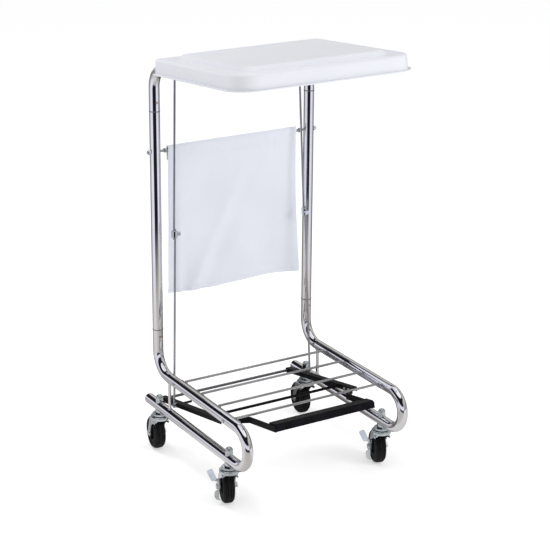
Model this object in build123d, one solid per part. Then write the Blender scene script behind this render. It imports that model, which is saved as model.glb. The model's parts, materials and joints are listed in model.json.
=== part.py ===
"""Linen trolley: a chromed tube stand for a laundry bag, with a pedal that lifts its lid.

Millimetres. +Z is up, +X is the user's right when facing the back, and -Y is the front,
where the pedal is. The origin is on the floor, under the middle of the trolley.
"""
from build123d import *
from math import atan2, cos, degrees, hypot, radians, sin
import os

# ---- driving dimensions -------------------------------------------------------------
TUBE_R = 12.7                # one inch tube
TUBE_WALL = 1.5
TRACK = 215.0                # tube axes stand this far left and right of the middle
LOWER_Z = 126.0              # axis of the lower runner
UPPER_Z = 222.0              # axis of the upper runner
FRONT_BEND_Y = -198.0        # where the runners turn into the front bend
RUNNER_REAR_Y = 244.0
UPRIGHT_Y = 192.0
REAR_BEND_R = 55.0           # upper runner to upright
TOP_BEND_R = 50.0            # upright to hoop arm
LOWER_SEAM_Z = 331.0
UPPER_SEAM_Z = 881.0
SLEEVE_LENGTH = 110.0
SEAM_RELIEF = 0.9

LID_HINGE = (150.0, 1004.6)  # Y and Z of the lid's hinge rod
LID_TILT = 5.4               # the hoop and the closed lid rise towards the front
LID_WIDTH = 461.0
LID_DEPTH = 392.0
LID_SKIRT = 36.5
LID_CORNER_R = 55.0          # the two front corners
LID_WALL = 2.5
LID_REAR = 8.0               # the lid's rear edge, behind the hinge
LID_UNDERSIDE = 7.5          # above the hinge axis
LID_LIP = 6.0
PANEL_INSET = 36.0
PANEL_RISE = 10.0
PANEL_CORNER_R = 34.0
PANEL_REAR_CORNER_R = 14.0
HINGE_ROD_R = 3.0
CRANK_X = 188.0              # inner face of the lid's crank plates
CRANK_THICK = 3.0
CRANK_EYE = (22.0, -6.0)     # rod eye from the hinge, in the lid's own tilted plane
CRANK_R = 7.8
CRANK_EYE_R = 4.8            # roomy: the rod's end shifts a little in it
HOOP_FRONT = -350.0          # axis of the hoop's front bar, in the lid's plane
HOOP_CORNER_R = 45.0
ARM_DROP = 17.2              # the hoop arm's axis below the hinge axis

PEDAL_PIVOT = (222.0, 126.0)  # Y and Z of the pedal's pivot rod
PEDAL_TILT = 10.8            # how far the pedal rises towards the front at rest
ARM_X = 185.5
ARM_WIDTH = 16.0
ARM_HEIGHT = 12.0
ARM_WALL = 2.0
ARM_REAR = 6.0
ARM_FRONT = -310.0
PIN_REACH = -80.4            # push rod pins, ahead of the pivot
STRETCHER_REACH = -244.0
STRAP_X = 136.5
STRAP_THICK = 3.0
STRAP_HEIGHT = 15.0
STRAP_LAP = 34.0
JOG_END = -349.0
TREAD_REAR = -438.0
TREAD_DEPTH = 32.0
TREAD_HEIGHT = 18.0
TREAD_WALL = 2.0

PUSH_ROD_R = 2.6
EYE_X = 198.0                # the push rods' foot eyes
EYE_HALF = 2.2
TIP_X = 170.6                # the push rods' upright line at the top
CLAMP_Z = 580.0
ROD_STAGGER = 5.3            # the upper push rod lies this far behind the lower one
THUMB_AIM = {-1: (1, 0, 0), 1: (0, -1, 0)}    # the way each side's thumbscrew points

SHELF_WIRE_R = 3.0
SHELF_SIDE_R = 3.5
SHELF_WIRE_YS = [79.0, -3.0, -85.0, -167.0]
STRUT_Y = 134.0
STRUT_R = 3.9

CLOTH_ROD_Z = 781.5
CLOTH_ROD_R = 3.0
CLOTH_HALF = 184.0
CLOTH_BOTTOM = 416.0
CLOTH_THICK = 3.0

CASTER_YS = {"rear": 189.0, "front": -160.0}
CASTER_YAW = {"rear": -9.0, "front": -19.5}
CASTER_TRAIL = 32.0
WHEEL_R = 42.0
TYRE_WIDTH = 29.0
STEM_R = 6.0
AXLE_R = 4.0
RUNNING_FIT = 0.05

SIDES = {"left": -1, "right": 1}


# ---- helpers ------------------------------------------------------------------------
def rod(start, end, radius):
    """A plain round bar between two points."""
    axis = Vector(*end) - Vector(*start)
    return extrude(Plane(origin=start, z_dir=axis) * Circle(radius), axis.length)


def tube(path, radius=TUBE_R, wall=TUBE_WALL):
    """A round tube swept along a path."""
    section = Plane(origin=path @ 0, z_dir=path % 0) * (Circle(radius) - Circle(radius - wall))
    return sweep(section, path=path)


def box_between(low, high):
    """An upright box from its lowest corner to its highest."""
    size = [h - l for l, h in zip(low, high)]
    middle = [(h + l) / 2 for l, h in zip(low, high)]
    return Pos(*middle) * Box(*size)


def tilted(hinge, degrees_up):
    """A frame on a hinge axis, with its -Y pointing forwards and up by an angle."""
    return Pos(0, *hinge) * Rot(X=-degrees_up)


def place(frame, point):
    """A point of a tilted frame, in the trolley's frame."""
    return (frame * Pos(*point)).position


def hexagon(centre, axis, across, thick):
    """A hexagonal nut or bolt head that grows from its centre along the axis."""
    plane = Plane(origin=centre, z_dir=axis)
    return extrude(plane * RegularPolygon(across / 2, 6, major_radius=False), thick)


LID_FRAME = tilted(LID_HINGE, LID_TILT)
PEDAL_FRAME = tilted(PEDAL_PIVOT, PEDAL_TILT)


# ---- chromed tube frame -------------------------------------------------------------
def seam_groove(x, z):
    """The relieved rim of a tube's end, which shows as a fine ring at each seam."""
    low, high = (x, UPRIGHT_Y, z - SEAM_RELIEF), (x, UPRIGHT_Y, z + SEAM_RELIEF)
    return rod(low, high, TUBE_R + 2) - rod(low, high, TUBE_R - SEAM_RELIEF)


def arc_through(centre, radius, start, end, x):
    """A bend in a plane across X, between two angles counted from +Y up to +Z."""
    points = []
    for angle in (start, (start + end) / 2, end):
        turn = radians(angle)
        points.append((x, centre[0] + radius * cos(turn), centre[1] + radius * sin(turn)))
    return ThreePointArc(*points)


def base_path(x):
    """Lower runner, front bend, upper runner, and the foot of the upright."""
    front_r = (UPPER_Z - LOWER_Z) / 2
    rear_centre_z = UPPER_Z + REAR_BEND_R
    rear_centre_y = UPRIGHT_Y - REAR_BEND_R
    front = arc_through((FRONT_BEND_Y, LOWER_Z + front_r), front_r, -90, -270, x)
    rear = arc_through((rear_centre_y, rear_centre_z), REAR_BEND_R, -90, 0, x)
    return Wire([
        Line((x, RUNNER_REAR_Y, LOWER_Z), (x, FRONT_BEND_Y, LOWER_Z)),
        front,
        Line((x, FRONT_BEND_Y, UPPER_Z), (x, rear_centre_y, UPPER_Z)),
        rear,
        Line((x, UPRIGHT_Y, rear_centre_z), (x, UPRIGHT_Y, LOWER_SEAM_Z)),
    ])


def shelf_screw_points(x):
    return [(x, SHELF_WIRE_YS[0] + 12, UPPER_Z), (x, SHELF_WIRE_YS[-1] + 14, UPPER_Z)]


def base_tube(side):
    x = side * TRACK
    body = tube(base_path(x)) - seam_groove(x, LOWER_SEAM_Z)
    for y in CASTER_YS.values():
        body -= rod((x, y, LOWER_Z - 20), (x, y, LOWER_Z + 20), STEM_R)
    pivot_y, pivot_z = PEDAL_PIVOT
    body -= rod((side * (TRACK - 20), pivot_y, pivot_z), (x, pivot_y, pivot_z), 3.5 + RUNNING_FIT)
    for point in shelf_screw_points(x):
        body -= rod((x - 20, *point[1:]), (x + 20, *point[1:]), 2.5)
    return body


def upright_tube(side):
    x = side * TRACK
    body = tube(Line((x, UPRIGHT_Y, LOWER_SEAM_Z), (x, UPRIGHT_Y, UPPER_SEAM_Z)))
    body -= seam_groove(x, LOWER_SEAM_Z) + seam_groove(x, UPPER_SEAM_Z)
    return body - rod((x - 20, UPRIGHT_Y, CLOTH_ROD_Z), (x + 20, UPRIGHT_Y, CLOTH_ROD_Z), CLOTH_ROD_R)


def arm_start(side):
    """Where the top bend meets the straight hoop arm, and the bend's centre height."""
    line = place(LID_FRAME, (side * TRACK, 0, -ARM_DROP))
    turned = radians(90 - LID_TILT)
    y = UPRIGHT_Y - TOP_BEND_R + TOP_BEND_R * cos(turned)
    z = line.Z + (line.Y - y) * sin(radians(LID_TILT)) / cos(radians(LID_TILT))
    return (side * TRACK, y, z), z - TOP_BEND_R * sin(turned)


def hoop_corner(side):
    """Where the straight arm ends and the hoop's front corner begins."""
    return tuple(place(LID_FRAME, (side * TRACK, HOOP_FRONT + HOOP_CORNER_R, -ARM_DROP)))


def top_arm(side):
    x = side * TRACK
    start, bend_z = arm_start(side)
    bend = arc_through((UPRIGHT_Y - TOP_BEND_R, bend_z), TOP_BEND_R, 0, 90 - LID_TILT, x)
    return tube(Wire([
        Line((x, UPRIGHT_Y, UPPER_SEAM_Z), (x, UPRIGHT_Y, bend_z)),
        bend,
        Line(start, hoop_corner(side)),
    ])) - seam_groove(x, UPPER_SEAM_Z)


def top_hoop():
    """The bag hoop: one tube up the left side, round the front under the lid, and back."""
    rear = HOOP_FRONT + HOOP_CORNER_R + 0.02
    corners = [(-TRACK, rear), (-TRACK, HOOP_FRONT), (TRACK, HOOP_FRONT), (TRACK, rear)]
    bends = FilletPolyline(*[(x, y, -ARM_DROP) for x, y in corners], radius=HOOP_CORNER_R)
    return LID_FRAME * tube(bends) + top_arm(-1) + top_arm(1)


def sleeves():
    """Inner sleeves that join the tubes at their seams."""
    parts = []
    for side in SIDES.values():
        for seam in (LOWER_SEAM_Z, UPPER_SEAM_Z):
            low = seam - SLEEVE_LENGTH / 2
            if seam == UPPER_SEAM_Z:
                low = seam - SLEEVE_LENGTH * 0.6
            x = side * TRACK
            line = Line((x, UPRIGHT_Y, low), (x, UPRIGHT_Y, low + SLEEVE_LENGTH * 0.9))
            parts.append(tube(line, TUBE_R - TUBE_WALL - RUNNING_FIT, TUBE_WALL))
    return parts


def snap_buttons():
    """Domed button heads that lock each tube to its sleeve, on the front of the uprights."""
    parts = []
    for side in SIDES.values():
        for z in (LOWER_SEAM_Z - 17, UPPER_SEAM_Z + 22):
            centre = (side * TRACK, UPRIGHT_Y - TUBE_R + 0.6, z)
            head = Pos(*centre) * Rot(X=90) * Cylinder(3.2, 3.0)
            tube_core = rod((side * TRACK, UPRIGHT_Y, z - 9), (side * TRACK, UPRIGHT_Y, z + 9), TUBE_R)
            parts.append(fillet(head.faces().sort_by(Axis.Y)[0].edges(), 1.0) - tube_core)
    return parts


def runner_plugs():
    """Domed caps in the open rear ends of the lower runners."""
    parts = []
    for side in SIDES.values():
        x = side * TRACK
        cap = rod((x, RUNNER_REAR_Y, LOWER_Z), (x, RUNNER_REAR_Y + 5, LOWER_Z), TUBE_R - 0.3)
        cap = fillet(cap.faces().sort_by(Axis.Y)[-1].edges(), 4.4)
        neck_end = (x, RUNNER_REAR_Y - 8, LOWER_Z)
        parts.append(cap + rod(neck_end, (x, RUNNER_REAR_Y, LOWER_Z), TUBE_R - TUBE_WALL - 0.1))
    return parts


def struts():
    """Chrome wire struts between the two runners of each side."""
    parts = []
    for side in SIDES.values():
        x = side * TRACK
        strut = rod((x, STRUT_Y, LOWER_Z + 5), (x, STRUT_Y, UPPER_Z - 5), STRUT_R)
        for z in (LOWER_Z, UPPER_Z):
            strut -= rod((x, STRUT_Y - 20, z), (x, STRUT_Y + 20, z), TUBE_R)
        parts.append(strut)
    return parts


# ---- wire shelf ---------------------------------------------------------------------
SHELF_SIDE_X = TRACK - TUBE_R - SHELF_SIDE_R


def shelf_side_rods():
    rear, front = SHELF_WIRE_YS[0] + 22, SHELF_WIRE_YS[-1] - 12
    return [
        rod((side * SHELF_SIDE_X, front, UPPER_Z), (side * SHELF_SIDE_X, rear, UPPER_Z), SHELF_SIDE_R)
        - Compound([rod((side * SHELF_SIDE_X - 9, y, UPPER_Z), (side * SHELF_SIDE_X + 9, y, UPPER_Z), 2.5)
                    for _, y, _ in shelf_screw_points(0)])
        for side in SIDES.values()
    ]


def shelf_cross_wires():
    z = UPPER_Z + SHELF_SIDE_R + SHELF_WIRE_R - 0.3
    wires = []
    for y in SHELF_WIRE_YS:
        wire = rod((-SHELF_SIDE_X - 1, y, z), (SHELF_SIDE_X + 1, y, z), SHELF_WIRE_R)
        for side in SIDES.values():
            x = side * SHELF_SIDE_X
            wire -= rod((x, y - 9, UPPER_Z), (x, y + 9, UPPER_Z), SHELF_SIDE_R)
        wires.append(wire)
    return wires


def shelf_screws():
    """Button-head screws from outside each upper runner into the shelf's side rods."""
    parts = []
    for side in SIDES.values():
        for _, y, z in shelf_screw_points(0):
            inner = (side * (SHELF_SIDE_X - SHELF_SIDE_R + 1), y, z)
            outer = (side * (TRACK + TUBE_R), y, z)
            head = rod(outer, (side * (TRACK + TUBE_R + 2.6), y, z), 4.8)
            face = head.faces().sort_by(Axis.X)[-1 if side > 0 else 0]
            parts.append(fillet(face.edges(), 2.0) + rod(inner, outer, 2.5))
    return parts


# ---- guard cloth and its rod --------------------------------------------------------
def cloth_rod():
    reach = TRACK + TUBE_R + 7
    return rod((-reach, UPRIGHT_Y, CLOTH_ROD_Z), (reach, UPRIGHT_Y, CLOTH_ROD_Z), CLOTH_ROD_R)


def cloth_rod_nuts():
    """Acorn nuts outside the uprights, and stop collars beside the cloth."""
    parts = []
    bore = cloth_rod()
    for side in SIDES.values():
        base = (side * (TRACK + TUBE_R), UPRIGHT_Y, CLOTH_ROD_Z)
        nut = hexagon(base, (side, 0, 0), 10, 5)
        dome = rod(base, (side * (TRACK + TUBE_R + 9), UPRIGHT_Y, CLOTH_ROD_Z), 4.6)
        dome = fillet(dome.faces().sort_by(Axis.X)[-1 if side > 0 else 0].edges(), 4.0)
        parts.append(nut + dome - bore)
        collar_start = (side * (CLOTH_HALF + 2), UPRIGHT_Y, CLOTH_ROD_Z)
        collar_end = (side * (CLOTH_HALF + 7), UPRIGHT_Y, CLOTH_ROD_Z)
        parts.append(rod(collar_start, collar_end, 5.5) - bore)
    return parts


def guard_cloth():
    """The cloth that keeps the bag off the push rods: a hem round the rod, and its drop."""
    low = (-CLOTH_HALF, UPRIGHT_Y - CLOTH_THICK / 2, CLOTH_BOTTOM)
    high = (CLOTH_HALF, UPRIGHT_Y + CLOTH_THICK / 2, CLOTH_ROD_Z)
    ends = [(x, UPRIGHT_Y, CLOTH_ROD_Z) for x in (-CLOTH_HALF, CLOTH_HALF)]
    return box_between(low, high) + rod(*ends, CLOTH_ROD_R + 3.4) - rod(*ends, CLOTH_ROD_R + 0.4)


# ---- lid ----------------------------------------------------------------------------
def lid_section(grow, z, front_r=LID_CORNER_R, rear_r=9.0):
    """The lid's plan outline, grown outwards all round, at a height in the lid's plane."""
    middle = LID_REAR - LID_DEPTH / 2
    rect = Rectangle(LID_WIDTH + 2 * grow, LID_DEPTH + 2 * grow)
    corners = rect.vertices().sort_by(Axis.Y)
    rect = fillet(corners[:2], max(front_r + grow, 1.0))
    rect = fillet(rect.vertices().sort_by(Axis.Y)[-2:], max(rear_r + grow, 1.0))
    return Pos(0, middle, z) * rect


def lid_block(grow, top, bottom, edge_r):
    """A solid with the lid's drafted sides and a rounded top edge."""
    body = loft([lid_section(grow, top), lid_section(grow + 3, bottom)])
    return fillet(body.faces().sort_by(Axis.Z)[-1].edges(), edge_r)


def panel_block(shrink, base, top):
    """The raised middle panel of the lid, with sloping sides."""
    sections = []
    for inset, z in ((PANEL_INSET + shrink, base), (PANEL_INSET + shrink + 10, top)):
        sections.append(lid_section(-inset, z, front_r=inset + PANEL_CORNER_R, rear_r=inset + PANEL_REAR_CORNER_R))
    return loft(sections)


def lid():
    top = LID_UNDERSIDE + LID_WALL
    bottom = top - LID_SKIRT
    outer = lid_block(0, top, bottom, 6.0)
    outer += panel_block(0, top - 1, top + PANEL_RISE)
    outer = fillet(outer.faces().sort_by(Axis.Z)[-1].edges(), 2.5)
    inner = lid_block(-LID_WALL, LID_UNDERSIDE, bottom - 1, 3.5)
    inner += panel_block(LID_WALL, LID_UNDERSIDE - 1, LID_UNDERSIDE + PANEL_RISE)
    lip = extrude(lid_section(3 + LID_LIP, bottom) - lid_section(2.8 - LID_WALL, bottom), LID_WALL)
    lip -= box_between((-300, LID_REAR - 4, bottom - 5), (300, LID_REAR + 40, bottom + 10))
    shell = outer - inner + lip
    for side in SIDES.values():
        x_low, x_high = sorted((side * 162.0, side * 228.3))
        shell -= box_between((x_low, LID_REAR - 6, bottom - 5), (x_high, LID_REAR + 20, LID_UNDERSIDE))
    return LID_FRAME * shell


def crank_plate(side):
    """A steel plate under the lid's edge: hinge hole, rod eye, and a screwed flange."""
    x = side * CRANK_X
    plane = Plane(origin=(x, 0, 0), z_dir=(side, 0, 0), x_dir=(0, 1, 0))
    eye_y, eye_z = CRANK_EYE
    outline = make_hull((
        Sketch() + Pos(0, 0) * Circle(CRANK_R - 1) + Pos(eye_y, eye_z * side) * Circle(CRANK_R)
    ).edges())
    leg_low, leg_high = sorted((-7 * side, LID_UNDERSIDE * side))
    leg = Pos(-29, (leg_low + leg_high) / 2) * Rectangle(58, leg_high - leg_low)
    profile = outline + leg - Circle(HINGE_ROD_R + RUNNING_FIT) - Pos(eye_y, eye_z * side) * Circle(CRANK_EYE_R)
    plate = extrude(plane * profile, CRANK_THICK)
    plate -= box_between((-250, -20, LID_UNDERSIDE), (250, LID_REAR + 1, LID_UNDERSIDE + 9))
    x_low, x_high = sorted((side * (CRANK_X - 24), x))
    flange = box_between((x_low, -58, LID_UNDERSIDE - 2), (x_high, -6, LID_UNDERSIDE))
    for y in (-48, -18):
        flange -= rod((side * (CRANK_X - 13), y, 0), (side * (CRANK_X - 13), y, 10), 2.2)
    return LID_FRAME * (plate + flange)


def lid_screws():
    """Pan-head screws that hold the crank plates up to the lid."""
    parts = []
    for side in SIDES.values():
        for y in (-48, -18):
            x = side * (CRANK_X - 13)
            head = rod((x, y, LID_UNDERSIDE - 4.4), (x, y, LID_UNDERSIDE - 2), 4.0)
            shank = rod((x, y, LID_UNDERSIDE - 2.2), (x, y, LID_UNDERSIDE), 2.2)
            parts.append(LID_FRAME * (head + shank))
    return parts


def lid_bumpers():
    """Rubber buttons under the lid, which rest on the hoop arms."""
    gap = ARM_DROP - TUBE_R + LID_UNDERSIDE - 0.3
    parts = []
    for side in SIDES.values():
        for y in (-60, -285):
            start = (side * TRACK, y, LID_UNDERSIDE)
            parts.append(LID_FRAME * rod(start, (side * TRACK, y, LID_UNDERSIDE - gap), 5.0))
    return parts


def hinge_rod():
    reach = TRACK + 6
    return LID_FRAME * rod((-reach, 0, 0), (reach, 0, 0), HINGE_ROD_R)


def hinge_lugs():
    """Lugs welded on the hoop arms, which carry the hinge rod."""
    parts = []
    for side in SIDES.values():
        low, high = sorted((side * (TRACK - 4), side * (TRACK + 2)))
        lug = box_between((low, -5, -ARM_DROP + 4), (high, 5, 0))
        lug += rod((low, 0, 0), (high, 0, 0), 5.0)
        lug -= rod((side * TRACK, -20, -ARM_DROP), (side * TRACK, 20, -ARM_DROP), TUBE_R)
        lug -= rod((low - 1, 0, 0), (high + 1, 0, 0), HINGE_ROD_R)
        parts.append(LID_FRAME * lug)
    return parts


# ---- pedal --------------------------------------------------------------------------
def pedal_arm(side):
    """An inverted channel, with holes for the pivot rod, the rod pin and the stretcher."""
    x = side * ARM_X
    half = ARM_WIDTH / 2
    body = box_between((x - half, ARM_FRONT, -ARM_HEIGHT / 2), (x + half, ARM_REAR, ARM_HEIGHT / 2))
    half -= ARM_WALL
    body -= box_between((x - half, ARM_FRONT - 1, -ARM_HEIGHT), (x + half, ARM_REAR + 1, ARM_HEIGHT / 2 - ARM_WALL))
    for y, radius in ((0, 3.5), (PIN_REACH, 3.0), (STRETCHER_REACH, 3.5)):
        body -= rod((x - 20, y, 0), (x + 20, y, 0), radius)
    for y in bolt_reaches():
        body -= rod((x - side * 20, y, 0), (x, y, 0), 2.5)
    return PEDAL_FRAME * body


def pedal_cross_rods():
    """The pivot rod at the back, which turns in the runners, and the stretcher."""
    pivot = rod((-TRACK + 7, 0, 0), (TRACK - 7, 0, 0), 3.5)
    reach = ARM_X + ARM_WIDTH / 2
    stretcher = rod((-reach, STRETCHER_REACH, 0), (reach, STRETCHER_REACH, 0), 3.5)
    return PEDAL_FRAME * pivot, PEDAL_FRAME * stretcher


def bolt_reaches():
    return [ARM_FRONT + STRAP_LAP - 8, ARM_FRONT + 8]


def strap_run(start, end):
    """One straight run of a flat strap on edge, with rounded ends."""
    length = hypot(end[0] - start[0], end[1] - start[1])
    angle = degrees(atan2(end[1] - start[1], end[0] - start[0]))
    middle = ((start[0] + end[0]) / 2, (start[1] + end[1]) / 2, 0)
    run = Pos(*middle) * Rot(Z=angle) * Box(length, STRAP_THICK, STRAP_HEIGHT)
    for x, y in (start, end):
        run += Pos(x, y, 0) * Cylinder(STRAP_THICK / 2, STRAP_HEIGHT)
    return run


def pedal_strap(side):
    """A strap that laps the arm, jogs inwards, and runs forward to the tread."""
    lap_x = side * (ARM_X - ARM_WIDTH / 2 - STRAP_THICK / 2)
    front = TREAD_REAR - TREAD_DEPTH + 1.5
    points = [
        (lap_x, ARM_FRONT + STRAP_LAP), (lap_x, ARM_FRONT - 3),
        (side * STRAP_X, JOG_END), (side * STRAP_X, front),
    ]
    strap = strap_run(points[0], points[1]) + strap_run(points[1], points[2])
    strap += strap_run(points[2], points[3])
    for y in bolt_reaches():
        strap -= rod((lap_x - 9, y, 0), (lap_x + 9, y, 0), 2.5)
    return PEDAL_FRAME * strap


def pedal_bar():
    """The foot tread, folded from sheet and open underneath, welded between two straps."""
    half = STRAP_X - STRAP_THICK / 2
    front = TREAD_REAR - TREAD_DEPTH
    top = STRAP_HEIGHT / 2 + 4
    body = box_between((-half, front, top - TREAD_HEIGHT), (half, TREAD_REAR, top))
    edges = body.edges().filter_by(Axis.X).sort_by(Axis.Z)[-2:]
    body = fillet(edges, 3.0)
    body -= box_between(
        (-half + TREAD_WALL, front + TREAD_WALL, top - TREAD_HEIGHT - 1),
        (half - TREAD_WALL, TREAD_REAR - TREAD_WALL, top - TREAD_WALL),
    )
    return PEDAL_FRAME * body + pedal_strap(-1) + pedal_strap(1)


def pedal_bolts():
    """Button-head bolts through strap and arm."""
    parts = []
    inner = ARM_X - ARM_WIDTH / 2 - STRAP_THICK
    for side in SIDES.values():
        for y in bolt_reaches():
            head = rod((side * inner, y, 0), (side * (inner - 2.8), y, 0), 4.8)
            shank = rod((side * inner, y, 0), (side * (inner + STRAP_THICK + ARM_WALL), y, 0), 2.5)
            start = (side * (inner + STRAP_THICK + ARM_WALL), y, 0)
            parts.append(PEDAL_FRAME * (head + shank + hexagon(start, (side, 0, 0), 6.8, 3)))
    return parts


def rod_pins():
    """The long pins through the arms that carry the push rods' foot eyes."""
    parts = []
    for side in SIDES.values():
        inner = 150 if side < 0 else ARM_X - ARM_WIDTH / 2
        pin = rod((side * inner, PIN_REACH, 0), (side * (EYE_X + EYE_HALF + 1.7), PIN_REACH, 0), 3.0)
        parts.append(PEDAL_FRAME * pin)
    return parts


def pin_washers():
    """A chromed washer inside each foot eye, and a push-on cap outside it."""
    parts = []
    for side in SIDES.values():
        for low, high, radius in ((ARM_X + 8, EYE_X - 3.4, 7.5), (EYE_X + 2.6, EYE_X + 3.9, 4.6)):
            ends = [(side * x, PIN_REACH, 0) for x in (low, high)]
            parts.append(PEDAL_FRAME * (rod(*ends, radius) - rod(*ends, 3.0)))
    return parts


# ---- push rods ----------------------------------------------------------------------
def rod_foot(side):
    return place(PEDAL_FRAME, (side * EYE_X, PIN_REACH, 0))


def rod_top(side):
    return place(LID_FRAME, (side * TIP_X, *CRANK_EYE))


def rod_line(side):
    """Foot and direction of the lower push rod. The upper one runs beside it to the eye."""
    foot = rod_foot(side)
    aim = rod_top(side) - Vector(0, ROD_STAGGER, 0)
    return foot, (aim - foot).normalized()


def at_height(side, z):
    foot, direction = rod_line(side)
    return foot + direction * ((z - foot.Z) / direction.Z)


def lower_push_rod(side):
    foot, direction = rod_line(side)
    end = at_height(side, CLAMP_Z + 14)
    shank = rod(tuple(foot + direction * 5), tuple(end), PUSH_ROD_R)
    eye_ends = [(foot.X - EYE_HALF, foot.Y, foot.Z), (foot.X + EYE_HALF, foot.Y, foot.Z)]
    return shank + rod(*eye_ends, 6.4) - rod(*eye_ends, 3.0 + RUNNING_FIT)


def upper_push_rod(side):
    """The upper rod rises beside the lower one and turns outwards into the crank's eye."""
    shift = Vector(0, ROD_STAGGER, 0)
    start = at_height(side, CLAMP_Z - 14) + shift
    top = rod_top(side)
    tip = top + Vector(side * (CRANK_X + CRANK_THICK + 3 - TIP_X), 0, 0)
    path = FilletPolyline(tuple(start), tuple(top), tuple(tip), radius=6.5)
    return sweep(Plane(origin=path @ 0, z_dir=path % 0) * Circle(PUSH_ROD_R), path=path)


def clamp_frame(side):
    """A frame on the clamp, with +Z up along the rods and +X along the thumbscrew."""
    centre = at_height(side, CLAMP_Z) + Vector(0, ROD_STAGGER / 2, 0)
    return Location(Plane(origin=tuple(centre), x_dir=THUMB_AIM[side], z_dir=tuple(rod_line(side)[1])))


def thumb_start(side):
    """How far from the clamp's middle the thumbscrew's tip stops, short of the rods."""
    return PUSH_ROD_R + 0.2 if side < 0 else ROD_STAGGER / 2 + PUSH_ROD_R + 0.2


def rod_clamp(side):
    """A small zinc collar that grips both rods, with a boss for its thumbscrew."""
    body = Cylinder(7.2, 19) + Pos(6, 0, 0) * Rot(Y=90) * Cylinder(4.4, 7)
    rims = body.edges().filter_by(GeomType.CIRCLE).sort_by(Axis.Z)
    body = fillet([rims[0], rims[-1]], 1.5)
    body -= Pos(7, 0, 0) * Rot(Y=90) * Cylinder(2.0 + RUNNING_FIT, 14)
    body = clamp_frame(side) * body
    direction = rod_line(side)[1]
    for shift in (Vector(0, 0, 0), Vector(0, ROD_STAGGER, 0)):
        low = at_height(side, CLAMP_Z - 30) + shift
        body -= rod(tuple(low), tuple(low + direction * 60), PUSH_ROD_R)
    return body


def thumbscrew(side):
    """A knurled thumbscrew through the clamp's boss."""
    head = Pos(12.2, 0, 0) * Rot(Y=90) * Cylinder(5.0, 4.5)
    flutes = 12
    for k in range(flutes):
        turn = radians(360 / flutes * k)
        head -= Pos(12.2, 5.2 * cos(turn), 5.2 * sin(turn)) * Rot(Y=90) * Cylinder(0.7, 6)
    tip = thumb_start(side)
    shank = Pos((tip + 10.5) / 2, 0, 0) * Rot(Y=90) * Cylinder(2.0, 10.5 - tip)
    return clamp_frame(side) * (head + shank)


# ---- casters ------------------------------------------------------------------------
RACE_TOP = LOWER_Z - TUBE_R
CROWN_TOP = 101.4
CROWN_BASE = 93.0
LEG_INNER = TYRE_WIDTH / 2 + 2
LEG_THICK = 2.5
BRAKE_DROP = 38.1


def caster_frame(side, end):
    """A caster's frame on the floor under its stem, turned as the caster stands."""
    return Pos(side * TRACK, CASTER_YS[end], 0) * Rot(Z=CASTER_YAW[end])


def each_caster():
    for end in CASTER_YS:
        for name, side in SIDES.items():
            yield f"{end}_{name}", side, end


def caster_stems():
    return [
        caster_frame(side, end) * rod((0, 0, CROWN_BASE - 3), (0, 0, LOWER_Z + TUBE_R + 9), STEM_R)
        for _, side, end in each_caster()
    ]


def stem_nuts():
    """Domed nuts on top of the runners, each on a saddle washer."""
    parts = []
    for _, side, end in each_caster():
        saddle = rod((0, 0, LOWER_Z + 8), (0, 0, LOWER_Z + TUBE_R + 2), 9.5)
        saddle -= rod((0, -20, LOWER_Z), (0, 20, LOWER_Z), TUBE_R)
        nut = hexagon((0, 0, LOWER_Z + TUBE_R + 2), (0, 0, 1), 17.5, 9)
        dome = rod((0, 0, LOWER_Z + TUBE_R + 2), (0, 0, LOWER_Z + TUBE_R + 17), 8.2)
        dome = fillet(dome.faces().sort_by(Axis.Z)[-1].edges(), 5.5)
        hole = rod((0, 0, LOWER_Z), (0, 0, LOWER_Z + TUBE_R + 9), STEM_R)
        parts.append(Pos(side * TRACK, CASTER_YS[end], 0) * (saddle + nut + dome - hole))
    return parts


def top_races():
    """The fixed upper races, seated against the underside of the runners."""
    parts = []
    for _, side, end in each_caster():
        neck = rod((0, 0, CROWN_TOP + 5.6), (0, 0, LOWER_Z - 8), 11)
        neck -= rod((0, -20, LOWER_Z), (0, 20, LOWER_Z), TUBE_R)
        race = fillet(rod((0, 0, CROWN_TOP + 0.7), (0, 0, CROWN_TOP + 6.1), 18.5).edges(), 1.4)
        hole = rod((0, 0, CROWN_BASE), (0, 0, LOWER_Z), STEM_R)
        parts.append(Pos(side * TRACK, CASTER_YS[end], 0) * (neck + race - hole))
    return parts


def leg_profile():
    """The fork seen from the side: wide at the crown, swept back to a round end."""
    top = Pos(1, CROWN_BASE - 1) * Rectangle(42, 6)
    outline = make_hull((Sketch() + top + Pos(CASTER_TRAIL, WHEEL_R) * Circle(9.5)).edges())
    return outline - Pos(-14, WHEEL_R + 5) * Circle(35)


def fork_channel(half, top, corner):
    """A long upright bar with rounded upper corners, seen along the wheel's rolling way."""
    section = Pos(0, top / 2) * Rectangle(2 * half, top)
    section = fillet(section.vertices().sort_by(Axis.Y)[-2:], corner)
    return extrude(Plane(origin=(0, 70, 0), x_dir=(1, 0, 0), z_dir=(0, -1, 0)) * section, 140)


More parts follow.
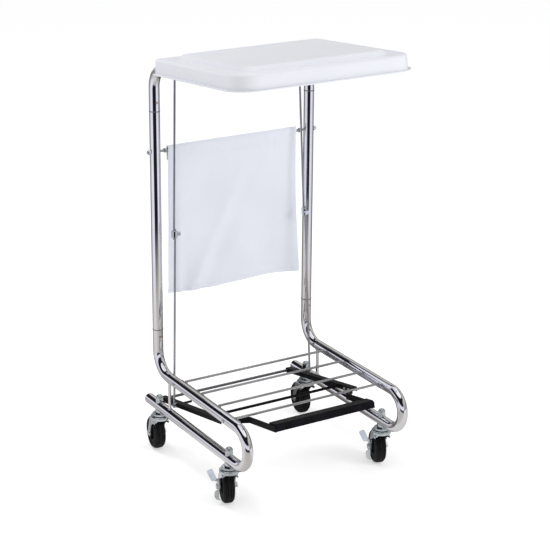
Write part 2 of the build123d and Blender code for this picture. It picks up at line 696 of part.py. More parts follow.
def fork(side, end):
    """A pressed fork: both legs and their bridge in one channel, under a round crown."""
    outer = LEG_INNER + LEG_THICK
    plane = Plane(origin=(-outer - 5, 0, 0), x_dir=(0, 1, 0), z_dir=(1, 0, 0))
    legs = extrude(plane * leg_profile(), 2 * outer + 10)
    legs = legs & fork_channel(outer, CROWN_BASE + 2, 9.0)
    legs -= fork_channel(LEG_INNER, CROWN_BASE + 2 - LEG_THICK, 6.5)
    crown = rod((0, 0, CROWN_BASE - 0.5), (0, 0, CROWN_TOP), 24)
    crown = fillet(crown.faces().sort_by(Axis.Z)[-1].edges(), 3.5)
    crown = fillet(crown.faces().sort_by(Axis.Z)[0].edges(), 1.5)
    body = crown + legs
    body -= rod((0, 0, CROWN_BASE - 15), (0, 0, CROWN_TOP + 5), STEM_R + RUNNING_FIT)
    body -= rod((-30, CASTER_TRAIL, WHEEL_R), (30, CASTER_TRAIL, WHEEL_R), AXLE_R)
    return caster_frame(side, end) * body


def axle(side, end):
    """The axle bolt with its round head on the left and its nut on the right."""
    outer = LEG_INNER + LEG_THICK
    lever_room = 3.4 if end == "front" else 0.0
    left = -outer - lever_room
    y, z = CASTER_TRAIL, WHEEL_R
    body = rod((left, y, z), (outer, y, z), AXLE_R)
    head = rod((left, y, z), (left - 3.5, y, z), 7.0)
    body += fillet(head.faces().sort_by(Axis.X)[0].edges(), 2.0)
    body += hexagon((outer, y, z), (1, 0, 0), 13, 6)
    return caster_frame(side, end) * body


def wheel_section(inner, outer, half, corner):
    """Half of a wheel ring's section: radius along X, width along Y."""
    rect = Pos((inner + outer) / 2, 0) * Rectangle(outer - inner, 2 * half)
    return fillet(rect.vertices().sort_by(Axis.X)[-2:], corner)


def wheel_ring(section, side, end):
    """Spin a section about a caster's axle."""
    plane = Plane(origin=(0, CASTER_TRAIL, WHEEL_R), x_dir=(0, 0, 1), z_dir=(0, -1, 0))
    ring = revolve(plane * section, Axis((0, CASTER_TRAIL, WHEEL_R), (1, 0, 0)), 360)
    return caster_frame(side, end) * ring


def tyre(side, end):
    return wheel_ring(wheel_section(24.0, WHEEL_R, TYRE_WIDTH / 2, 10.0), side, end)


def hub(side, end):
    """The wheel's core: a rim, a thin web and a thick boss with the axle's bore."""
    bore = AXLE_R + RUNNING_FIT
    section = Pos((24 + 19) / 2, 0) * Rectangle(5, TYRE_WIDTH - 4)
    section += Pos(14, 0) * Rectangle(12, 8)
    section += Pos((bore + 10) / 2, 0) * Rectangle(10 - bore, 2 * LEG_INNER - 0.6)
    return wheel_ring(section, side, end)


def brake_lever(side, end):
    """A folded lever left of the wheel: cheek on the axle, front lobe, foot paddle.

    Its heights are drawn from BRAKE_DROP under the axle.
    """
    left = -(LEG_INNER + LEG_THICK) - 0.5
    thick = 2.2
    y = CASTER_TRAIL
    cheek = make_hull((Sketch() + Pos(y, 22) * Circle(8) + Pos(y, 50) * Rectangle(16, 8)).edges())
    plane = Plane(origin=(left - thick, 0, 0), x_dir=(0, 1, 0), z_dir=(1, 0, 0))
    body = extrude(plane * cheek, thick)
    outline = [
        (left, 33), (left - 9, 29), (left - 11.5, 23), (left - 11, 14), (left - 7, 7.5),
        (left - 1, 4.6), (left + 2.5, 4.2), (left + 2.5, 7), (left, 8.5),
    ]
    lobe = make_face(Polyline(*outline, close=True))
    front = Plane(origin=(0, y - 5.8, 0), x_dir=(1, 0, 0), z_dir=(0, -1, 0))
    body += extrude(front * lobe, thick)
    body -= rod((-40, y, BRAKE_DROP), (0, y, BRAKE_DROP), AXLE_R + RUNNING_FIT)
    paddle = Pos(-36.5, y - 4, 70) * Rot(Y=-24) * Rot(X=-20)
    blade = Box(14.5, thick, 28)
    blade = fillet(blade.edges().filter_by(Axis.Y), 4.0)
    rim = Pos(0, 1.8, 12.6) * Box(9, 3.4, 1.8) + Pos(-6.2, 1.8, 0) * Box(1.8, 3.4, 19)
    neck = loft([
        Pos(left - thick / 2, y, 52) * Rectangle(thick, 16),
        paddle * Pos(0, 0, -10.5) * Rectangle(12, thick),
    ])
    lever = body + neck + paddle * (blade + rim)
    return caster_frame(side, end) * Pos(0, 0, WHEEL_R - BRAKE_DROP) * lever


# ---- assembly -----------------------------------------------------------------------
def all_nodes():
    """Every node of the trolley, by name."""
    pivot, stretcher = pedal_cross_rods()
    nodes = {
        "top_hoop": top_hoop(),
        "joint_sleeves": sleeves(),
        "snap_buttons": snap_buttons(),
        "runner_plugs": runner_plugs(),
        "runner_struts": struts(),
        "shelf_side_rods": shelf_side_rods(),
        "shelf_cross_wires": shelf_cross_wires(),
        "shelf_screws": shelf_screws(),
        "cloth_rod": cloth_rod(),
        "cloth_rod_nuts": cloth_rod_nuts(),
        "guard_cloth": guard_cloth(),
        "lid_hinge_rod": hinge_rod(),
        "lid_hinge_lugs": hinge_lugs(),
        "caster_stems": caster_stems(),
        "stem_nuts": stem_nuts(),
        "caster_top_races": top_races(),
        "lid": lid(),
        "lid_screws": lid_screws(),
        "lid_bumpers": lid_bumpers(),
        "pedal_pivot_rod": pivot,
        "pedal_stretcher": stretcher,
        "pedal_bar": pedal_bar(),
        "pedal_bolts": pedal_bolts(),
        "push_rod_pins": rod_pins(),
        "pin_washers": pin_washers(),
    }
    for name, side in SIDES.items():
        nodes[f"base_tube_{name}"] = base_tube(side)
        nodes[f"upright_tube_{name}"] = upright_tube(side)
        nodes[f"lid_crank_{name}"] = crank_plate(side)
        nodes[f"pedal_arm_{name}"] = pedal_arm(side)
        nodes[f"lower_push_rod_{name}"] = lower_push_rod(side)
        nodes[f"upper_push_rod_{name}"] = upper_push_rod(side)
        nodes[f"rod_clamp_{name}"] = rod_clamp(side)
        nodes[f"thumbscrew_{name}"] = thumbscrew(side)
        nodes[f"brake_lever_{name}"] = brake_lever(side, "front")
    for name, side, end in each_caster():
        nodes[f"caster_fork_{name}"] = fork(side, end)
        nodes[f"caster_axle_{name}"] = axle(side, end)
        nodes[f"wheel_hub_{name}"] = hub(side, end)
        nodes[f"tyre_{name}"] = tyre(side, end)
    return nodes


def main():
    os.makedirs("parts", exist_ok=True)
    for name, shape in all_nodes().items():
        solids = Compound(shape) if isinstance(shape, list) else shape
        export_step(solids, f"parts/{name}.step")


if __name__ == "__main__":
    main()
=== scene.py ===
"""The linen trolley's looks: materials, welds, dark seam rings of painted shade, tyres, guard cloth and studio."""
import bpy
import bmesh
import json
from math import cos, exp, pi, radians, sin, sqrt
from mathutils import Matrix, Vector, noise


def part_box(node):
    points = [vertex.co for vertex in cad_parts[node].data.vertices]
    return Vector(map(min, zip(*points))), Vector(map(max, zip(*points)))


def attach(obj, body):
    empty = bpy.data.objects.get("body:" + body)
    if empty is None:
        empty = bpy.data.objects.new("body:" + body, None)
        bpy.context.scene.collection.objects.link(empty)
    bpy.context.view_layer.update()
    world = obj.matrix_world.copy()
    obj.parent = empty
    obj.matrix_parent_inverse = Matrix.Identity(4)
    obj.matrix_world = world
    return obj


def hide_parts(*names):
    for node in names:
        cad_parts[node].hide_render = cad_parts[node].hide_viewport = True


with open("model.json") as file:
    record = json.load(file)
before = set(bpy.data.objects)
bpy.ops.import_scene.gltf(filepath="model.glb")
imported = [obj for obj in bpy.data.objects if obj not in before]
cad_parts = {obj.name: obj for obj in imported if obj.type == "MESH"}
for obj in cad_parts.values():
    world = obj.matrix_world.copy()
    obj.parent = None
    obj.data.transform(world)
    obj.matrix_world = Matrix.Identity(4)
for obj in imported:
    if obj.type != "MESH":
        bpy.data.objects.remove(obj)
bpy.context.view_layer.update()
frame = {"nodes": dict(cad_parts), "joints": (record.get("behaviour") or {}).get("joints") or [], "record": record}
NODES = frame["nodes"]
ENDS = ("front", "rear")
SIDES = {"left": -1, "right": 1}
UP = Vector((0, 0, 1))


# ---- node tree helpers --------------------------------------------------------------
def new_material(name, color, metallic=0.0, roughness=0.5, **sockets):
    """A Principled material. Constants sit on the shader's own sockets."""
    mat = bpy.data.materials.new(name)
    mat.use_nodes = True
    shader = mat.node_tree.nodes["Principled BSDF"]
    shader.inputs["Base Color"].default_value = (*color, 1)
    shader.inputs["Metallic"].default_value = metallic
    shader.inputs["Roughness"].default_value = roughness
    for key, value in sockets.items():
        shader.inputs[key.replace("_", " ")].default_value = value
    return mat


def add(mat, kind, **values):
    """A node with its settings and constant inputs."""
    node = mat.node_tree.nodes.new(kind)
    for key, value in values.items():
        name = key.replace("_", " ")
        if name in node.inputs:
            node.inputs[name].default_value = value
        else:
            setattr(node, key, value)
    return node


def link(mat, source, target):
    mat.node_tree.links.new(source, target)


def shader_of(mat):
    return mat.node_tree.nodes["Principled BSDF"]


def place_vector(mat):
    return add(mat, "ShaderNodeTexCoord").outputs["Object"]


def noise_value(mat, scale, detail=3.0, rough=0.5, stretch=None):
    """A noise texture in object space, in features per metre."""
    node = add(mat, "ShaderNodeTexNoise", Scale=scale, Detail=detail, Roughness=rough)
    source = place_vector(mat)
    if stretch:
        mapping = add(mat, "ShaderNodeMapping")
        mapping.inputs["Scale"].default_value = stretch
        link(mat, source, mapping.inputs["Vector"])
        source = mapping.outputs["Vector"]
    link(mat, source, node.inputs["Vector"])
    return node.outputs["Fac"]


def remap(mat, value, low, high, from_low=0.0, from_high=1.0):
    node = add(mat, "ShaderNodeMapRange")
    ends = {"From Min": from_low, "From Max": from_high, "To Min": low, "To Max": high}
    for key, number in ends.items():
        node.inputs[key].default_value = number
    link(mat, value, node.inputs["Value"])
    return node.outputs["Result"]


def ramp_of(owner, value, stops):
    """A colour ramp with any number of stops."""
    ramp = add(owner, "ShaderNodeValToRGB")
    points = ramp.color_ramp.elements
    while len(points) < len(stops):
        points.new(0.5)
    for point, (position, color) in zip(points, stops):
        point.position = position
        point.color = (*color, 1)
    link(owner, value, ramp.inputs["Fac"])
    return ramp.outputs["Color"]


def two_tone(mat, value, dark, light, low=0.35, high=0.65):
    """Base colour that drifts between two shades with a noise value."""
    color = ramp_of(mat, value, ((low, dark), (high, light)))
    link(mat, color, shader_of(mat).inputs["Base Color"])


def drift(mat, value, low, high):
    """Let the roughness drift with a noise value."""
    link(mat, remap(mat, value, low, high), shader_of(mat).inputs["Roughness"])


def bump(mat, value, strength, distance, below=None):
    node = add(mat, "ShaderNodeBump", Strength=strength, Distance=distance)
    link(mat, value, node.inputs["Height"])
    if below is not None:
        link(mat, below, node.inputs["Normal"])
    link(mat, node.outputs["Normal"], shader_of(mat).inputs["Normal"])
    return node.outputs["Normal"]


# ---- materials ----------------------------------------------------------------------
def chrome(name, dark, light, roughness, streak=None):
    """Plated metal: faint cloudy tint, hairline polish marks and a slightly uneven gloss."""
    mat = new_material(name, light, metallic=1.0, roughness=roughness)
    two_tone(mat, noise_value(mat, 14, 4), dark, light, 0.3, 0.7)
    gloss = noise_value(mat, 60, 5, 0.6, streak)
    drift(mat, gloss, roughness * 0.6, roughness * 1.7)
    bump(mat, noise_value(mat, 240, 2, 0.5, streak), 0.03, 0.0004)
    return mat


def zinc(name):
    """Bluish zinc plate with spangled tint and fine tooling marks."""
    mat = new_material(name, (0.62, 0.68, 0.73), metallic=1.0, roughness=0.26)
    two_tone(mat, noise_value(mat, 70, 4, 0.6), (0.58, 0.64, 0.67), (0.76, 0.81, 0.83), 0.3, 0.7)
    drift(mat, noise_value(mat, 300, 3), 0.06, 0.17)
    bump(mat, noise_value(mat, 700, 3), 0.07, 0.0003)
    return mat


def powder_coat():
    """Semi-gloss black powder coat with orange peel and light rub marks."""
    mat = new_material(
        "black_paint_look", (0.008, 0.008, 0.009), roughness=0.40, Specular_IOR_Level=0.08,
    )
    two_tone(mat, noise_value(mat, 40, 5), (0.0025, 0.0025, 0.003), (0.007, 0.006, 0.009))
    drift(mat, noise_value(mat, 90, 4), 0.26, 0.46)
    peel = bump(mat, noise_value(mat, 700, 2), 0.22, 0.0003)
    bump(mat, noise_value(mat, 3500, 2), 0.08, 0.0001, peel)
    return mat


def moulded(name, dark, light, roughness):
    """Moulded plastic with a fine spark-eroded grain."""
    mat = new_material(name, light, roughness=roughness, Specular_IOR_Level=0.45)
    two_tone(mat, noise_value(mat, 7, 3), dark, light, 0.25, 0.75)
    drift(mat, noise_value(mat, 60, 4), roughness * 0.85, roughness * 1.2)
    grain = bump(mat, noise_value(mat, 1400, 2), 0.10, 0.0002)
    bump(mat, noise_value(mat, 25, 2), 0.05, 0.002, grain)
    return mat


def rubber(name, base):
    """Dull rubber with a dusty drift in tint and gloss."""
    mat = new_material(name, base, roughness=0.62, Specular_IOR_Level=0.22)
    light = tuple(c * 2.2 + 0.003 for c in base)
    two_tone(mat, noise_value(mat, 55, 5, 0.6), base, light)
    drift(mat, noise_value(mat, 160, 4), 0.50, 0.78)
    bump(mat, noise_value(mat, 1500, 3), 0.25, 0.0003)
    return mat


THREAD_PITCH = 0.0007


def weave(mat, pitch):
    """A plain weave's height: two crossing sets of threads, in metres per thread."""
    split = add(mat, "ShaderNodeSeparateXYZ")
    link(mat, place_vector(mat), split.inputs["Vector"])
    waves = []
    for axis in ("X", "Z"):
        turn = add(mat, "ShaderNodeMath", operation="MULTIPLY")
        turn.inputs[1].default_value = pi / pitch
        link(mat, split.outputs[axis], turn.inputs[0])
        wave = add(mat, "ShaderNodeMath", operation="SINE")
        link(mat, turn.outputs[0], wave.inputs[0])
        waves.append(wave.outputs[0])
    product = add(mat, "ShaderNodeMath", operation="MULTIPLY")
    link(mat, waves[0], product.inputs[0])
    link(mat, waves[1], product.inputs[1])
    return remap(mat, product.outputs[0], 0.0, 1.0, -1.0, 1.0)


def woven_cloth():
    """Plain white weave with a soft sheen and a faint unevenness."""
    mat = new_material(
        "cloth_look", (0.68, 0.70, 0.76), roughness=0.9,
        Specular_IOR_Level=0.15, Sheen_Weight=0.06, Sheen_Roughness=0.5,
    )
    shade = noise_value(mat, 9, 4, 0.5)
    two_tone(mat, shade, (0.655, 0.675, 0.735), (0.685, 0.705, 0.765), 0.3, 0.7)
    threads = bump(mat, weave(mat, THREAD_PITCH), 0.35, 0.0002)
    bump(mat, noise_value(mat, 420, 3), 0.10, 0.0004, threads)
    return mat


MATERIALS = {
    "chrome_tube": chrome("chrome_tube_look", (0.84, 0.84, 0.87), (0.92, 0.92, 0.945), 0.035),
    "bright_wire": chrome("bright_wire_look", (0.42, 0.42, 0.45), (0.60, 0.60, 0.63), 0.12),
    "plated_fixing": zinc("plated_fixing_look"),
    "zinc_caster": zinc("zinc_caster_look"),
    "cloth": woven_cloth(),
    "lid_plastic": moulded("lid_plastic_look", (0.695, 0.71, 0.755), (0.715, 0.73, 0.775), 0.38),
    "rubber_pad": rubber("rubber_pad_look", (0.02, 0.02, 0.02)),
    "black_paint": powder_coat(),
    "dark_rod": chrome("dark_rod_look", (0.16, 0.17, 0.18), (0.26, 0.27, 0.29), 0.28),
    "wheel_core": rubber("wheel_core_look", (0.007, 0.007, 0.008)),
    "black_tyre": rubber("black_tyre_look", (0.0045, 0.004, 0.004)),
}


def dress_cad_nodes():
    for part in frame["record"]["subparts"]:
        mesh = NODES[part["node"]].data
        mesh.materials.clear()
        mesh.materials.append(MATERIALS[part["material_slot"]])
    coppery = chrome("snap_button_look", (0.42, 0.30, 0.24), (0.62, 0.46, 0.37), 0.22)
    NODES["snap_buttons"].data.materials[0] = coppery


dress_cad_nodes()


# ---- mesh helpers -------------------------------------------------------------------
def new_piece(name, bm, slot, body, smooth=True):
    """Turn a bmesh into a piece that rides on a body and takes a slot's material."""
    mesh = bpy.data.meshes.new(name)
    bm.to_mesh(mesh)
    bm.free()
    piece = bpy.data.objects.new(name, mesh)
    bpy.context.scene.collection.objects.link(piece)
    for poly in mesh.polygons:
        poly.use_smooth = smooth
    mesh.materials.append(MATERIALS[slot])
    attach(piece, body)
    return piece


def middle(node):
    low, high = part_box(node)
    return (Vector(low) + Vector(high)) / 2


def tube_ring(bm, centre, along, radius, thick, rounds=14, sides=6, wobble=0.0):
    """A small bead that runs round an axis, its thickness uneven like a weld."""
    along = along.normalized()
    across = along.orthogonal().normalized()
    other = along.cross(across)
    rings = []
    for i in range(rounds):
        turn = 2 * pi * i / rounds
        out = across * cos(turn) + other * sin(turn)
        size = thick * (1 + wobble * noise.noise(centre * 90 + out * 2.7))
        rings.append([
            bm.verts.new(centre + out * (radius + size * cos(a)) + along * size * sin(a))
            for a in (2 * pi * k / sides for k in range(sides))
        ])
    for i in range(rounds):
        for k in range(sides):
            a, b = rings[i], rings[(i + 1) % rounds]
            bm.faces.new((a[k], b[k], b[(k + 1) % sides], a[(k + 1) % sides]))


# ---- welds and seam rings of painted shade ------------------------------------------
WELD_BEAD = 0.0016            # half of the thickness of a strut's weld
WELD_SINK = 0.0012            # a weld lies this far inside the strut's end
WELD_SPOT = 0.0021            # radius of a spot weld on the shelf
SEAM_SHADE_RING = 0.0014            # half of the thickness of the dark ring that paints a seam's shaded gap
SEAM_SHADE_SINK = 0.0006            # the painted-shade ring lies this far inside the tube's skin
SHELF_WIRES = 4


def make_strut_welds():
    """Beads where each strut meets the runners."""
    low, high = (Vector(c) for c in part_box("runner_struts"))
    radius = (high.y - low.y) / 2
    bm = bmesh.new()
    for side in (-1, 1):
        x = side * (high.x - radius)
        for z in (low.z + WELD_SINK, high.z - WELD_SINK):
            centre = Vector((x, (low.y + high.y) / 2, z))
            tube_ring(bm, centre, UP, radius + 0.0002, WELD_BEAD, 18, 6, 0.5)
    new_piece("strut_welds", bm, "chrome_tube", "frame")


def make_painted_seam_shade():
    """A dark ring of painted shade where tube ends meet, standing for the shaded gap in each upright's two seams.
    """
    bm = bmesh.new()
    for side in SIDES:
        low, high = (Vector(c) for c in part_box(f"upright_tube_{side}"))
        radius = (high.y - low.y) / 2
        for z in (low.z, high.z):
            centre = Vector(((low.x + high.x) / 2, (low.y + high.y) / 2, z))
            tube_ring(bm, centre, UP, radius - SEAM_SHADE_SINK, SEAM_SHADE_RING, 48, 8)
    # a dark ring in the dark rod's material paints the shade of the gap between tube ends
    new_piece("painted_seam_shade", bm, "dark_rod", "frame")


def make_shelf_welds():
    """A spot of weld on both sides of every crossing of a shelf wire and a side rod."""
    low, high = (Vector(c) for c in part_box("shelf_cross_wires"))
    radius = (high.z - low.z) / 2
    rod_low, rod_high = (Vector(c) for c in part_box("shelf_side_rods"))
    rod_r = (rod_high.z - rod_low.z) / 2
    bm = bmesh.new()
    for i in range(SHELF_WIRES):
        y = low.y + radius + (high.y - low.y - 2 * radius) * i / (SHELF_WIRES - 1)
        for side in (-1, 1):
            for hand in (-1, 1):
                spot = bmesh.ops.create_icosphere(bm, subdivisions=2, radius=WELD_SPOT)
                across = side * (rod_high.x - rod_r)
                place = Vector((across, y + hand * radius * 0.85, rod_high.z + 0.0004))
                for vert in spot["verts"]:
                    lump = 1 + 0.35 * noise.noise(vert.co * 600 + place * 50)
                    vert.co = place + Vector((vert.co.x * 1.5, vert.co.y, vert.co.z)) * lump
    new_piece("shelf_welds", bm, "bright_wire", "frame")


# ---- tyres --------------------------------------------------------------------------
TYRE_BORE = 0.0241            # radius where the tyre sits on the wheel's core
TYRE_HALF = 0.0144            # half of the tyre's width
SHOULDER_R = 0.010            # rounding of the tread's two edges
TREAD_ROOM = 0.0001           # the ribs stay this far inside the plain tyre's crown
RIB_EDGE = 0.0005             # how far a rib's flat stands over its own edges
GROOVE = 0.0017               # depth of the grooves between ribs


def shoulder_drop(half, width):
    """How far a tyre's round shoulder lies below its crown at some width."""
    past = max(0.0, width - (half - SHOULDER_R))
    return SHOULDER_R - sqrt(SHOULDER_R * SHOULDER_R - past * past)


def tyre_profile(bore, outer, half):
    """Half of a tyre's section, as radius and width pairs: bead, wall, shoulder, ribs."""
    line = [(bore, 0.0), (bore, half * 0.80)]
    line += [(bore + 0.0012, half * 0.86), (bore + 0.004, half * 0.80)]
    line += [(bore + 0.007, half * 0.93), (outer - 0.011, half)]
    line += [(outer - 0.0078, half * 0.985), (outer - 0.0052, half * 0.93)]
    for start, end in ((0.84, 0.60), (0.52, 0.30), (0.22, 0.0)):
        crown = outer - RIB_EDGE - shoulder_drop(half, half * start)
        line.append((crown, half * start))
        line.append((crown + RIB_EDGE, half * (start - 0.04)))
        crown = outer - RIB_EDGE - shoulder_drop(half, half * end)
        line.append((crown + RIB_EDGE, half * (end + 0.03 if end else 0.0)))
        if end:
            line.append((crown - GROOVE, half * (end - 0.01)))
            line.append((crown - GROOVE, half * (end - 0.05)))
    return line


def make_tyre(key):
    """A solid rubber tyre with beads, bulged walls and ribs round its tread."""
    node = f"tyre_{key}"
    centre = middle(node)
    low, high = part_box(node)
    outer = (high[2] - low[2]) / 2 - TREAD_ROOM
    spin = next(joint for joint in frame["joints"] if joint["name"] == f"wheel_spin_{key}")
    axis = Vector(spin["axis"]).normalized()
    ahead = axis.cross(UP).normalized()
    half_line = tyre_profile(TYRE_BORE, outer, TYRE_HALF)
    line = half_line + [(r, -w) for r, w in reversed(half_line[1:-1])]
    bm = bmesh.new()
    steps = 72
    rings = []
    for i in range(steps):
        turn = 2 * pi * i / steps
        out = UP * cos(turn) + ahead * sin(turn)
        rings.append([bm.verts.new(centre + out * r + axis * w) for r, w in line])
    for i in range(steps):
        a, b = rings[i], rings[(i + 1) % steps]
        for k in range(len(line)):
            n = (k + 1) % len(line)
            bm.faces.new((a[k], a[n], b[n], b[k]))
    bmesh.ops.recalc_face_normals(bm, faces=bm.faces)
    piece = new_piece(f"treaded_tyre_{key}", bm, "black_tyre", f"wheel_{key}")
    piece.modifiers.new("soft edges", "BEVEL").width = 0.0003
    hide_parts(node)


# ---- guard cloth --------------------------------------------------------------------
CLOTH_LEFT, CLOTH_RIGHT = -0.183, 0.177
HEM_BACK = 0.026
HEM_FOOT = 0.013
HEADING = 0.0115              # the stiff hem stands this far above the rod
ROD_ROOM = 0.0016             # the cloth's middle layer clears the rod by this
CLOTH_THICK = 0.0005
CLOTH_COLUMNS = 96
FULL_DROP = 0.36              # where the folds reach their full depth
STITCH_PITCH = 0.0034
STITCH_LENGTH = 0.0022
STITCH_R = 0.00026


def cloth_drift(x, drop):
    """How far the cloth moves sideways, forwards and down, at a place on its drop."""
    across = (x - CLOTH_LEFT) / (CLOTH_RIGHT - CLOTH_LEFT)
    fall = min(max(drop / FULL_DROP, 0.0), 1.0)
    free = fall ** 1.3
    side = free * (0.013 * across ** 2 - 0.002 * sin(pi * across))
    folds = 0.0055 * sin(9.2 * across + 3.4 * fall + 0.5)
    folds += 0.0028 * sin(17.0 * across - 5.2 * fall + 1.9)
    folds += 0.0060 * exp(-((across - 0.085) / 0.030) ** 2)
    slant = across - 0.66 + 0.48 * fall
    folds += 0.0065 * exp(-(slant / 0.050) ** 2) - 0.0045 * exp(-((slant - 0.10) / 0.060) ** 2)
    for depth, rise, tilt, place, width in (
        (0.0022, 0.72, 0.10, 0.22, 0.16),
        (0.0020, 0.66, 0.05, 0.75, 0.14),
    ):
        crease = exp(-((fall - rise + tilt * across) / 0.018) ** 2)
        folds += depth * crease * exp(-((across - place) / width) ** 2)
    folds += 0.0026 * noise.noise(Vector((across * 4, fall * 3, 0.3)))
    sag = 0.0026 * sin(pi * across * 2.1 + 0.4) * fall + 0.004 * across * fall
    pinch = 0.0009 * noise.noise(Vector((across * 26, 0.7, 0.1))) * exp(-drop / 0.05)
    return side, folds * (0.05 + 0.95 * free) + pinch, sag


def cloth_run(rod_r, length):
    """The cloth's path in side view: up the back hem, over the rod, down, and the foot hem."""
    path = []
    for i in range(7):
        path.append((rod_r * 0.92 - 0.0012 * (1 - i / 6), -HEM_BACK * (1 - i / 6)))
    for i in range(1, 9):
        turn = pi * i / 9
        path.append((rod_r * cos(turn), HEADING * sin(turn) ** 0.8))
    for i in range(73):
        fall = i / 72
        path.append((-rod_r * (1 - fall) ** 8, -length * fall))
    for i in range(1, 5):
        path.append((0.0011, -length + HEM_FOOT * i / 4))
    return path


def make_guard_cloth():
    """A woven cloth hung by its hem on the rod, with soft folds and a stitched foot hem."""
    rod_low, rod_high = (Vector(c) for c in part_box("cloth_rod"))
    cloth_low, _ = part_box("guard_cloth")
    y, z = (rod_low.y + rod_high.y) / 2, (rod_low.z + rod_high.z) / 2
    rod_r = (rod_high.y - rod_low.y) / 2 + ROD_ROOM
    length = z - cloth_low[2]
    path = cloth_run(rod_r, length)
    bm = bmesh.new()
    grid = []
    for out, rise in path:
        row = []
        drop = max(-rise, 0.0)
        for c in range(CLOTH_COLUMNS + 1):
            x = CLOTH_LEFT + (CLOTH_RIGHT - CLOTH_LEFT) * c / CLOTH_COLUMNS
            side, forward, sag = cloth_drift(x, drop)
            row.append(bm.verts.new((x + side, y + out - forward, z + rise - sag)))
        grid.append(row)
    for low_row, high_row in zip(grid, grid[1:]):
        for c in range(CLOTH_COLUMNS):
            bm.faces.new((low_row[c], low_row[c + 1], high_row[c + 1], high_row[c]))
    cloth = new_piece("hung_guard_cloth", bm, "cloth", "frame")
    shell = cloth.modifiers.new("cloth thickness", "SOLIDIFY")
    shell.thickness, shell.offset = CLOTH_THICK, 0.0
    cloth.modifiers.new("smooth", "SUBSURF").levels = 1
    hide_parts("guard_cloth")
    seams = make_stitches(y, z, length, rod_r)


def make_stitches(y, z, length, rod_r):
    """Two rows of machine stitches: below the rod's hem and above the foot hem."""
    bm = bmesh.new()
    count = int((CLOTH_RIGHT - CLOTH_LEFT - 0.006) / STITCH_PITCH)
    for drop in (HEM_BACK - 0.004, length - HEM_FOOT + 0.002):
        lean = rod_r * (1 - drop / length) ** 8
        for i in range(count):
            ends = []
            for shift in (0.0, STITCH_LENGTH):
                x = CLOTH_LEFT + 0.003 + i * STITCH_PITCH + shift
                side, forward, sag = cloth_drift(x, drop)
                ends.append(Vector((x + side, y - lean - forward - 0.00045, z - drop - sag)))
            along = (ends[1] - ends[0]).normalized()
            rings = []
            for t, r in ((0.0, 0.00008), (0.2, STITCH_R), (0.8, STITCH_R), (1.0, 0.00008)):
                at = ends[0].lerp(ends[1], t)
                out = Vector((0, -1, 0))
                up = along.cross(out).normalized()
                rings.append([
                    bm.verts.new(at + (out * cos(a) + up * sin(a)) * r) for a in (0, 2.1, 4.2)
                ])
            for a, b in zip(rings, rings[1:]):
                for k in range(3):
                    bm.faces.new((a[k], a[(k + 1) % 3], b[(k + 1) % 3], b[k]))
    return new_piece("cloth_stitches", bm, "cloth", "frame")


make_strut_welds()
make_painted_seam_shade()
make_shelf_welds()
for end in ENDS:
    for hand in SIDES:
        make_tyre(f"{end}_{hand}")
make_guard_cloth()


# ---- studio -------------------------------------------------------------------------
FRONT_OF_STUDIO = Vector((-0.52, -0.854, 0))
FLOOR_HALF = 14
FLOOR_GLOW = 0.45
FLOOR_NEAR_TO_FAR = (1.0, 1.75)
CAMERA_PLACE = (-1.99373, -3.28114, 1.86719)
CAMERA_YAW, CAMERA_PITCH, CAMERA_ROLL = -31.32, -18.53, 0.43
LENS = 111.36
LENS_SHIFT = -0.0636

# What mirrors see: grey levels from rear to front over the floor, and by height round the
# walls, where WALL_LIT is the wall at the right (+X) and WALL_ROOM the other three.
FLOOR_FAR = (
    (0.0, (0.10, 0.09, 0.09)), (0.12, (0.16, 0.15, 0.15)),
    (0.34, (0.36, 0.35, 0.37)), (0.52, (0.70, 0.70, 0.80)),
    (0.74, (0.88, 0.88, 0.96)), (0.885, (0.70, 0.70, 0.80)),
    (0.915, (0.012, 0.012, 0.014)), (1.0, (0.012, 0.012, 0.014)),
)
FLOOR_NEAR = (
    (0.0, (0.13, 0.12, 0.11)), (0.12, (0.20, 0.18, 0.17)),
    (0.30, (0.46, 0.44, 0.44)), (0.5, (0.66, 0.64, 0.64)),
    (0.8, (0.72, 0.70, 0.68)), (1.0, (0.50, 0.48, 0.46)),
)
WALL_ROOM = (
    (0.0, (0.42, 0.41, 0.43)), (0.10, (0.86, 0.86, 0.92)),
    (0.26, (0.64, 0.64, 0.74)), (0.31, (0.48, 0.48, 0.55)),
    (0.345, (0.010, 0.010, 0.012)), (0.80, (0.012, 0.012, 0.014)),
    (0.86, (1.0, 1.0, 1.0)), (1.0, (1.0, 1.0, 1.0)),
)
WALL_LIT = (
    (0.0, (0.20, 0.19, 0.18)), (0.12, (0.34, 0.32, 0.30)),
    (0.45, (0.62, 0.60, 0.57)), (0.62, (0.50, 0.49, 0.47)),
    (0.70, (0.06, 0.06, 0.06)), (0.80, (0.06, 0.06, 0.06)),
    (0.86, (1.0, 1.0, 1.0)), (1.0, (1.0, 1.0, 1.0)),
)


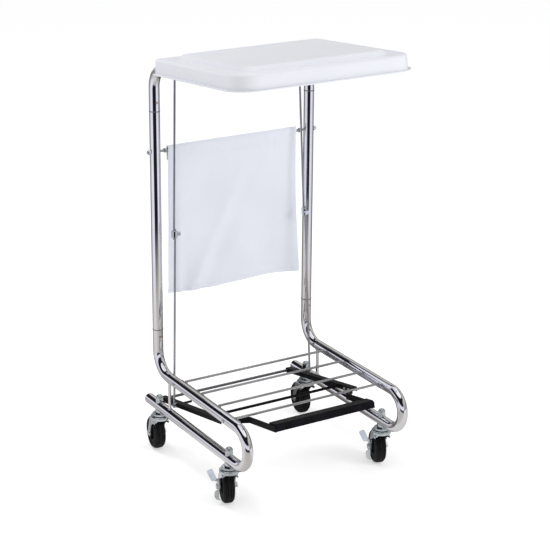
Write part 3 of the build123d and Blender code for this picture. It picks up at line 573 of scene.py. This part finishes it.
def make_floor():
    """A white floor with faint shadows. Mirrored, it shows a dim sector front and rear."""
    bm = bmesh.new()
    bmesh.ops.create_grid(bm, x_segments=1, y_segments=1, size=FLOOR_HALF)
    mesh = bpy.data.meshes.new("floor")
    bm.to_mesh(mesh)
    bm.free()
    floor = bpy.data.objects.new("floor", mesh)
    bpy.context.scene.collection.objects.link(floor)
    mat = new_material("floor_look", (0.66, 0.66, 0.665), roughness=0.9, Specular_IOR_Level=0.0)
    shader_of(mat).inputs["Emission Color"].default_value = (1, 1, 1, 1)
    shader_of(mat).inputs["Emission Strength"].default_value = FLOOR_GLOW
    place = place_vector(mat)
    ahead = add(mat, "ShaderNodeVectorMath", operation="NORMALIZE")
    link(mat, place, ahead.inputs[0])
    toward = add(mat, "ShaderNodeVectorMath", operation="DOT_PRODUCT")
    link(mat, ahead.outputs["Vector"], toward.inputs[0])
    toward.inputs[1].default_value = FRONT_OF_STUDIO
    facing = remap(mat, toward.outputs["Value"], 0, 1, -1, 1)
    distance = add(mat, "ShaderNodeVectorMath", operation="LENGTH")
    link(mat, place, distance.inputs[0])
    reach = remap(mat, distance.outputs["Value"], 0, 1, *FLOOR_NEAR_TO_FAR)
    mix = add(mat, "ShaderNodeMix", data_type="RGBA")
    link(mat, reach, mix.inputs["Factor"])
    link(mat, ramp_of(mat, facing, FLOOR_NEAR), mix.inputs[6])
    link(mat, ramp_of(mat, facing, FLOOR_FAR), mix.inputs[7])
    glow = add(mat, "ShaderNodeEmission")
    link(mat, mix.outputs[2], glow.inputs["Color"])
    path = add(mat, "ShaderNodeLightPath")
    choose = add(mat, "ShaderNodeMixShader")
    link(mat, path.outputs["Is Glossy Ray"], choose.inputs["Fac"])
    link(mat, shader_of(mat).outputs["BSDF"], choose.inputs[1])
    link(mat, glow.outputs["Emission"], choose.inputs[2])
    link(mat, choose.outputs["Shader"], mat.node_tree.nodes["Material Output"].inputs["Surface"])
    mesh.materials.append(mat)


def make_world():
    """Even white light. Mirrors see a pale wall, a dark gap above it and a softbox overhead."""
    world = bpy.data.worlds.new("studio")
    bpy.context.scene.world = world
    world.use_nodes = True
    back = world.node_tree.nodes["Background"]
    back.inputs["Color"].default_value = (1.0, 1.0, 1.0, 1)
    path = add(world, "ShaderNodeLightPath")
    link(world, remap(world, path.outputs["Is Camera Ray"], 0.80, 1.0), back.inputs["Strength"])
    split = add(world, "ShaderNodeSeparateXYZ")
    link(world, add(world, "ShaderNodeTexCoord").outputs["Generated"], split.inputs["Vector"])
    walls = add(world, "ShaderNodeMix", data_type="RGBA")
    link(world, remap(world, split.outputs["X"], 0, 1, 0.10, 0.30), walls.inputs["Factor"])
    link(world, ramp_of(world, split.outputs["Z"], WALL_ROOM), walls.inputs[6])
    link(world, ramp_of(world, split.outputs["Z"], WALL_LIT), walls.inputs[7])
    mirrored = add(world, "ShaderNodeBackground")
    link(world, walls.outputs[2], mirrored.inputs["Color"])
    choose = add(world, "ShaderNodeMixShader")
    link(world, path.outputs["Is Glossy Ray"], choose.inputs["Fac"])
    link(world, back.outputs["Background"], choose.inputs[1])
    link(world, mirrored.outputs["Background"], choose.inputs[2])
    link(world, choose.outputs["Shader"], world.node_tree.nodes["World Output"].inputs["Surface"])


def make_lights():
    for name, place, size, power in (
        ("key", (1.9, -2.8, 1.9), 1.4, 46),
        ("fill", (-0.9, 1.2, 3.0), 0.7, 27),
    ):
        data = bpy.data.lights.new(name, "AREA")
        data.size = size
        data.energy = power
        light = bpy.data.objects.new(name, data)
        bpy.context.scene.collection.objects.link(light)
        light.visible_glossy = False
        light.location = place
        aim = Vector((0, 0, 0.6)) - Vector(place)
        light.rotation_mode = "QUATERNION"
        light.rotation_quaternion = aim.to_track_quat("-Z", "Y")


def make_camera():
    data = bpy.data.cameras.new("camera")
    data.lens = LENS
    data.sensor_width = 36
    data.shift_y = LENS_SHIFT
    data.clip_start, data.clip_end = 0.1, 100
    camera = bpy.data.objects.new("camera", data)
    bpy.context.scene.collection.objects.link(camera)
    yaw, pitch, roll = radians(CAMERA_YAW), radians(CAMERA_PITCH), radians(CAMERA_ROLL)
    forward = Vector((-sin(yaw) * cos(pitch), cos(yaw) * cos(pitch), sin(pitch)))
    right = Vector((cos(yaw), sin(yaw), 0))
    up = right.cross(forward)
    right_rolled = right * cos(roll) + up * sin(roll)
    up_rolled = up * cos(roll) - right * sin(roll)
    turn = Matrix((right_rolled, up_rolled, -forward)).transposed()
    camera.matrix_world = Matrix.Translation(CAMERA_PLACE) @ turn.to_4x4()
    bpy.context.scene.camera = camera


make_floor()
make_world()
make_lights()
make_camera()
bpy.context.scene.view_settings.view_transform = "Standard"
